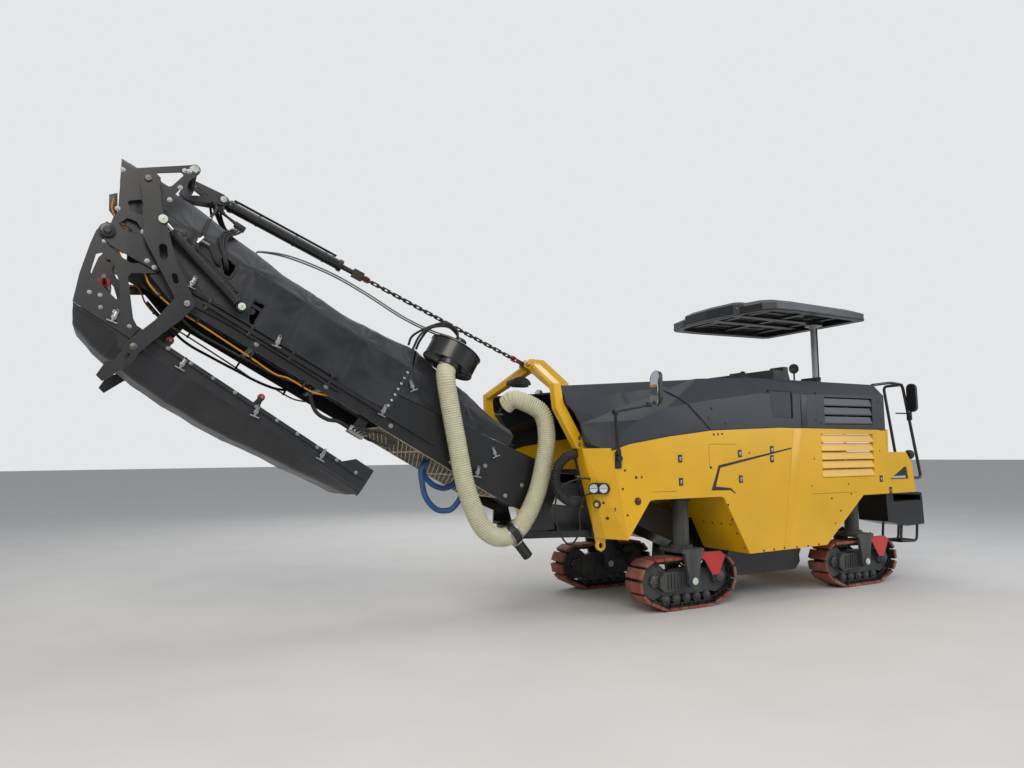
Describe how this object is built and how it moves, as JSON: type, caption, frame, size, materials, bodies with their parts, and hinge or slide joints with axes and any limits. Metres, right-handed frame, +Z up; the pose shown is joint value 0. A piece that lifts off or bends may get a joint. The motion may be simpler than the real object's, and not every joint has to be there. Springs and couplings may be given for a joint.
{
  "type": "cold planer milling machine on four crawlers",
  "caption": "Cold planer on steered crawlers with an enclosed milling drum, an operators' platform under a canopy and a folding discharge conveyor.",
  "frame": {"origin": "centre of the bounding box at ground level", "axes": "+X forward to the discharge conveyor, +Y to the machine's left, +Z up"},
  "size_m": [9.7318, 2.53, 4.1675],
  "materials": {
    "yellow_paint": "gloss signal yellow enamel",
    "dark_paint": "satin anthracite powder coat",
    "black_paint": "satin black powder coat",
    "grey_paint": "satin light grey enamel",
    "red_paint": "satin red enamel",
    "cover_fabric": "coated woven tarpaulin",
    "belt_rubber": "matte vulcanised rubber",
    "track_pads": "dusty brown-red polyurethane",
    "hose_plastic": "ribbed cream polyurethane hose",
    "pale_plastic": "moulded grey plastic",
    "dark_glass": "tinted safety glass",
    "lamp_glass": "clear lamp lens",
    "worn_steel": "bare worn steel",
    "chain_steel": "black chain steel",
    "rod_chrome": "hard chrome plate",
    "engine_iron": "painted cast iron"
  },
  "bodies": {
    "root": {"chassis_frame": "dark_paint", "slewing_shelf": "dark_paint", "engine_block": "engine_iron", "bay_walls": "yellow_paint", "side_panel_left": "yellow_paint", "side_panel_right": "yellow_paint", "front_corner_panels": "yellow_paint", "tail_panel": "yellow_paint", "side_grilles": "yellow_paint", "hood_front": "dark_paint", "hood_rear": "dark_paint", "hood_grilles": "black_paint", "side_windows": "dark_glass", "mast": "yellow_paint", "operator_floor": "dark_paint", "operator_seats": "belt_rubber", "control_consoles": "pale_plastic", "canopy_post": "grey_paint", "canopy_roof": "black_paint", "handrails": "black_paint", "rear_steps": "black_paint", "mirrors": "black_paint", "head_lamps": "lamp_glass", "lashing_eyes": "yellow_paint", "drum_housing": "black_paint", "edge_plates": "black_paint", "collecting_conveyor": "black_paint"},
    "drum": {"milling_drum": "worn_steel"},
    "slew": {"slew_turret": "black_paint"},
    "conveyor": {"conveyor_frame": "black_paint", "conveyor_belt": "belt_rubber", "conveyor_rollers": "red_paint", "conveyor_cover": "cover_fabric", "tent_cover": "cover_fabric", "mesh_guard": "worn_steel", "tip_frame": "black_paint", "fan_housing": "black_paint", "suction_hose": "hose_plastic"},
    "fold": {"fold_frame": "black_paint", "fold_belt": "belt_rubber", "fold_rollers": "red_paint", "fold_cover": "cover_fabric"},
    "fold_lever": {"fold_lever": "dark_paint"},
    "fold_link": {"fold_link": "dark_paint"},
    "fold_barrels": {"fold_cylinder_barrels": "black_paint"},
    "fold_rods": {"fold_cylinder_rods": "rod_chrome"},
    "luff_barrel": {"luff_cylinder_barrel": "black_paint"},
    "luff_rod": {"luff_rod_and_chain": "chain_steel"},
    "crawler_front_left": {"leg_front_left": "dark_paint", "track_frame_front_left": "dark_paint", "track_front_left": "track_pads"},
    "crawler_front_right": {"leg_front_right": "dark_paint", "track_frame_front_right": "dark_paint", "track_front_right": "track_pads"},
    "crawler_rear_left": {"leg_rear_left": "dark_paint", "track_frame_rear_left": "dark_paint", "track_rear_left": "track_pads"},
    "crawler_rear_right": {"leg_rear_right": "dark_paint", "track_frame_rear_right": "dark_paint", "track_rear_right": "track_pads"}
  },
  "joints": [
    {"name": "drum_spin", "type": "hinge", "parent": "root", "child": "drum", "pos_m": [-2.235, 0, 0.64], "axis": [0, 1, 0], "continuous": true},
    {"name": "slew", "type": "hinge", "parent": "root", "child": "slew", "pos_m": [0.575, 0, 0.9], "axis": [0, 0, 1], "range_deg": [-40, 40]},
    {"name": "luff", "type": "hinge", "parent": "slew", "child": "conveyor", "pos_m": [0.655, 0, 1.11], "axis": [0, -1, 0], "range_deg": [-20, 3]},
    {"name": "fold", "type": "hinge", "parent": "conveyor", "child": "fold", "pos_m": [4.6407, 0, 3.46293], "axis": [0, -1, 0], "range_deg": [0, 176]},
    {"name": "fold_lever_turn", "type": "hinge", "parent": "conveyor", "child": "fold_lever", "pos_m": [4.3674, 0, 3.90795], "axis": [0, -1, 0], "range_deg": [0, 121.76]},
    {"name": "fold_link_turn", "type": "hinge", "parent": "fold_lever", "child": "fold_link", "pos_m": [4.0522, 0, 2.89887], "axis": [0, -1, 0], "range_deg": [0, 79.33]},
    {"name": "fold_cylinder_swing", "type": "hinge", "parent": "conveyor", "child": "fold_barrels", "pos_m": [3.61905, 0, 2.92277], "axis": [0, -1, 0], "range_deg": [-3.48, 1]},
    {"name": "fold_cylinder_stroke", "type": "slide", "parent": "fold_barrels", "child": "fold_rods", "axis": [0.6898, 0, 0.724], "range_m": [0, 0.6064]},
    {"name": "luff_cylinder_swing", "type": "hinge", "parent": "conveyor", "child": "luff_barrel", "pos_m": [3.73103, 0, 3.98486], "axis": [0, 1, 0], "range_deg": [-3, 3]},
    {"name": "luff_cylinder_stroke", "type": "slide", "parent": "luff_barrel", "child": "luff_rod", "axis": [-0.9187, 0, -0.395], "range_m": [-0.09, 0.5306]},
    {"name": "steer_front_left", "type": "hinge", "parent": "root", "child": "crawler_front_left", "pos_m": [-0.9175, 0.756, 1], "axis": [0, 0, 1], "range_deg": [-25, 25]},
    {"name": "steer_front_right", "type": "hinge", "parent": "root", "child": "crawler_front_right", "pos_m": [-0.9175, -0.756, 1], "axis": [0, 0, 1], "range_deg": [-25, 25]},
    {"name": "steer_rear_left", "type": "hinge", "parent": "root", "child": "crawler_rear_left", "pos_m": [-3.6725, 0.756, 1], "axis": [0, 0, 1], "range_deg": [-25, 25]},
    {"name": "steer_rear_right", "type": "hinge", "parent": "root", "child": "crawler_rear_right", "pos_m": [-3.6725, -0.756, 1], "axis": [0, 0, 1], "range_deg": [-25, 25]}
  ],
  "couplings": [
    {"joint": "steer_front_right", "follows": "steer_front_left", "ratio": 1},
    {"joint": "steer_rear_right", "follows": "steer_rear_left", "ratio": 1},
    {"joint": "fold_lever_turn", "follows": "fold", "ratio": 0.68613},
    {"joint": "fold_link_turn", "follows": "fold", "ratio": 0.44505},
    {"joint": "fold_cylinder_swing", "follows": "fold", "ratio": -0.014104},
    {"joint": "fold_cylinder_stroke", "follows": "fold", "m_per_rad": 0.19577},
    {"joint": "luff_cylinder_swing", "follows": "luff", "ratio": -0.068019},
    {"joint": "luff_cylinder_stroke", "follows": "luff", "m_per_rad": -1.4915}
  ]
}
